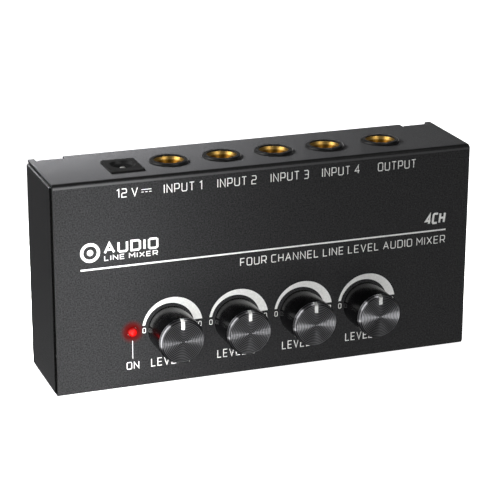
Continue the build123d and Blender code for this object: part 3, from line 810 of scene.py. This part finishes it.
class MIXER_OT_panel_badge(bpy.types.Operator):
    """Prints a plain ring-and-dot sign with two plain words, and the channel count at the right"""

    bl_idname = "mixer.panel_badge"
    bl_label = "Panel badge"

    def execute(self, context):
        sizes = context.scene.mixer_print
        centre = (from_left(10.9), 44.55 * MM)
        ring_radius, dot_radius, ring_steps, dot_steps = 2.55 * MM, 0.95 * MM, 48, 16
        ring = [
            (centre[0] + ring_radius * math.cos(a), centre[1] + ring_radius * math.sin(a))
            for a in (2 * math.pi * i / ring_steps for i in range(ring_steps))
        ]
        ring.append(ring[0])
        print_piece("badge_ring", ink(), [ring], width=0.95 * MM, proud=sizes.ink_proud)
        # the two halves of the dot stop just short of its ends, so that no face has no width
        dot = [
            [
                (centre[0] + dot_radius * math.cos(a), centre[1] + side * dot_radius * math.sin(a))
                for a in (math.pi * (0.02 + 0.96 * i / dot_steps) for i in range(dot_steps + 1))
            ]
            for side in (1, -1)
        ]
        print_piece("badge_dot", ink(), bands=[(dot[0], dot[1])], proud=sizes.ink_proud)
        large = word_strokes("AUDIO", from_left(15.4), from_left(31.6), 44.0 * MM, 46.9 * MM)
        print_piece("badge_word", ink(), large, width=0.68 * MM, proud=sizes.ink_proud)
        small = word_strokes("LINE MIXER", from_left(15.3), from_left(31.6), 41.7 * MM, 43.05 * MM)
        print_piece("badge_line", ink(), small, width=0.28 * MM, proud=sizes.ink_proud)
        count = word_strokes("4CH", from_left(119.3), from_left(125.5), 41.8 * MM, 44.8 * MM, 0.12)
        print_piece("channel_count", ink(), count, width=0.68 * MM, proud=sizes.ink_proud)
        return {"FINISHED"}


class MIXER_OT_indicator_label(bpy.types.Operator):
    """Prints the indicator's leader line and word"""

    bl_idname = "mixer.indicator_label"
    bl_label = "Indicator label"

    def execute(self, context):
        sizes = context.scene.mixer_print
        runs = word_strokes("ON", from_left(21.6), from_left(25.3), 6.2 * MM, 8.35 * MM)
        print_piece("indicator_word", ink(), runs, width=sizes.label_stroke, proud=sizes.ink_proud)
        leader = [[(LENS_X, 9.5 * MM), (LENS_X, 15.2 * MM)]]
        print_piece("indicator_leader", ink(), leader, width=sizes.leader_stroke, proud=sizes.ink_proud)
        return {"FINISHED"}


# ---------------------------------------------------------------- studio


def softbox(name, place_mm, aim_mm, width_mm, height_mm, watts, shadow=True, diffuse=True, glossy=True):
    """A rectangular lamp that faces a point, out of the camera's sight."""
    data = bpy.data.lights.new(name, "AREA")
    data.shape = "RECTANGLE"
    data.size, data.size_y = width_mm * MM, height_mm * MM
    data.energy = watts
    data.use_shadow = shadow
    lamp = bpy.data.objects.new(name, data)
    lamp.location = Vector(place_mm) * MM
    lamp.rotation_euler = (Vector(aim_mm) - Vector(place_mm)).to_track_quat("-Z", "Y").to_euler()
    lamp.visible_camera = False
    lamp.visible_diffuse = diffuse
    lamp.visible_glossy = glossy
    bpy.context.scene.collection.objects.link(lamp)
    return lamp


def leave_out(lamp, *names):
    """Keeps a shadowless lamp off what lies behind the case's seams."""
    group = bpy.data.collections.new(f"{lamp.name}_left_out")
    for name in names:
        group.objects.link(NODES[name])
    for member in group.collection_objects:
        member.light_linking.link_state = "EXCLUDE"
    lamp.light_linking.receiver_collection = group


class MIXER_OT_studio(bpy.types.Operator):
    """Builds the pale floor, the soft lamps and the camera"""

    bl_idname = "mixer.studio"
    bl_label = "Studio"

    def execute(self, context):
        scene = context.scene
        studio = scene.mixer_studio
        scene.view_settings.view_transform = "Standard"
        # painted studio floor: pale and even, with a faint mottle
        paint = grained(
            "painted_floor",
            linear("#efefef"),
            studio.floor_colour,
            60.0,
            0.0,
            0.8,
            0.9,
            Specular_IOR_Level=0.1,
            Emission_Color=(1, 1, 1, 1),
            Emission_Strength=1.0,
        )[0]
        half = studio.floor_size / 2
        data = bpy.data.meshes.new("studio_floor")
        level = CAD_BOX[0].z
        corners = [(-half, -half, level), (half, -half, level), (half, half, level), (-half, half, level)]
        data.from_pydata(corners, [], [(0, 1, 2, 3)])
        data.materials.append(paint)
        floor = bpy.data.objects.new("studio_floor", data)
        scene.collection.objects.link(floor)
        floor.visible_diffuse = False
        floor.visible_glossy = False

        world = bpy.data.worlds.new("studio_world")
        scene.world = world
        world.use_nodes = True
        sky = world.node_tree.nodes["Background"]
        sky.inputs["Color"].default_value = (1, 1, 1, 1)
        sky.inputs["Strength"].default_value = 0.05

        # a wash only brightens, a glint is only seen in reflections, and neither casts a shadow
        wash = {"shadow": False, "glossy": False}
        glint = {"shadow": False, "diffuse": False}
        softbox("overhead", (0, 900, 760), (0, 60, 0), 1600, 1000, 8, glossy=False)
        softbox("jack_light", (230, -230, 680), (0, 5, 60), 300, 200, 1.4, **glint)
        front = softbox("front", (60, -620, -420), (0, 0, 30), 600, 300, 3.0, **wash)
        panel = softbox("panel_wash", (-60, -57, -60), (-60, 0, -60), 12, 300, 0.26, **wash)
        softbox("right_fill", (600, 200, 200), (60, 0, 30), 400, 400, 1.2, glossy=False)
        softbox("top_left", (-64, 70, 120), (-40, 5, 60), 30, 30, 1.05, glossy=False)
        softbox("end_wash", (-120, 5, -60), (-67, 5, -30), 20, 120, 0.16, **wash)
        softbox("left_glint", (-700, 100, 150), (0, 0, 20), 500, 1400, 9, **glint)
        softbox("right_glint", (370, 430, -120), (0, 0, 20), 500, 500, 2, **glint)
        softbox("fold_line", (200, -545, 258), (0, -10, 60), 400, 30, 0.3, **glint)
        softbox("low_front", (150, -600, -200), (0, 0, 18), 200, 120, 0.05, **glint)
        softbox("low_left", (-350, -500, -200), (0, 0, 18), 200, 120, 0.8, **glint)
        softbox("low_right", (520, -300, -200), (0, 0, 18), 200, 120, 0.7, **glint)

        for lamp in (front, panel):
            leave_out(lamp, "back_cover", "circuit_board", "board_standoffs", "board_screws", "clinch_nuts")

        data = bpy.data.cameras.new("studio_camera")
        data.lens = 141.1
        data.sensor_width = 36.0
        camera = bpy.data.objects.new("studio_camera", data)
        camera.location = Vector((-199.4, -537.2, 230.8)) * MM
        camera.rotation_euler = [math.radians(angle) for angle in (71.235, -0.215, -20.063)]
        scene.collection.objects.link(camera)
        scene.camera = camera
        return {"FINISHED"}


OPERATORS = (
    MIXER_OT_case_finish,
    MIXER_OT_knob_finish,
    MIXER_OT_jack_finish,
    MIXER_OT_power_jack_finish,
    MIXER_OT_indicator_finish,
    MIXER_OT_hardware_finish,
    MIXER_OT_socket_labels,
    MIXER_OT_level_scales,
    MIXER_OT_panel_rule,
    MIXER_OT_panel_badge,
    MIXER_OT_indicator_label,
    MIXER_OT_studio,
)


class MIXER_PT_sidebar(bpy.types.Panel):
    """The mixer's pieces and settings"""

    bl_idname = "MIXER_PT_sidebar"
    bl_label = "Line Mixer"
    bl_space_type = "VIEW_3D"
    bl_region_type = "UI"
    bl_category = "Line Mixer"

    def draw(self, context):
        for settings in (context.scene.mixer_print, context.scene.mixer_colours, context.scene.mixer_studio):
            box = self.layout.box()
            for name in settings.__annotations__:
                box.prop(settings, name)
        for operator in OPERATORS:
            self.layout.operator(operator.bl_idname)


CLASSES = (PrintSizes, FinishColours, StudioSizes, *OPERATORS, MIXER_PT_sidebar)


def register():
    for cls in CLASSES:
        bpy.utils.register_class(cls)
    bpy.types.Scene.mixer_print = PointerProperty(type=PrintSizes)
    bpy.types.Scene.mixer_colours = PointerProperty(type=FinishColours)
    bpy.types.Scene.mixer_studio = PointerProperty(type=StudioSizes)


def unregister():
    del bpy.types.Scene.mixer_print
    del bpy.types.Scene.mixer_colours
    del bpy.types.Scene.mixer_studio
    for cls in reversed(CLASSES):
        bpy.utils.unregister_class(cls)


def main():
    register()
    for operator in OPERATORS:
        group, name = operator.bl_idname.split(".")
        getattr(getattr(bpy.ops, group), name)()


if __name__ == "__main__":
    main()
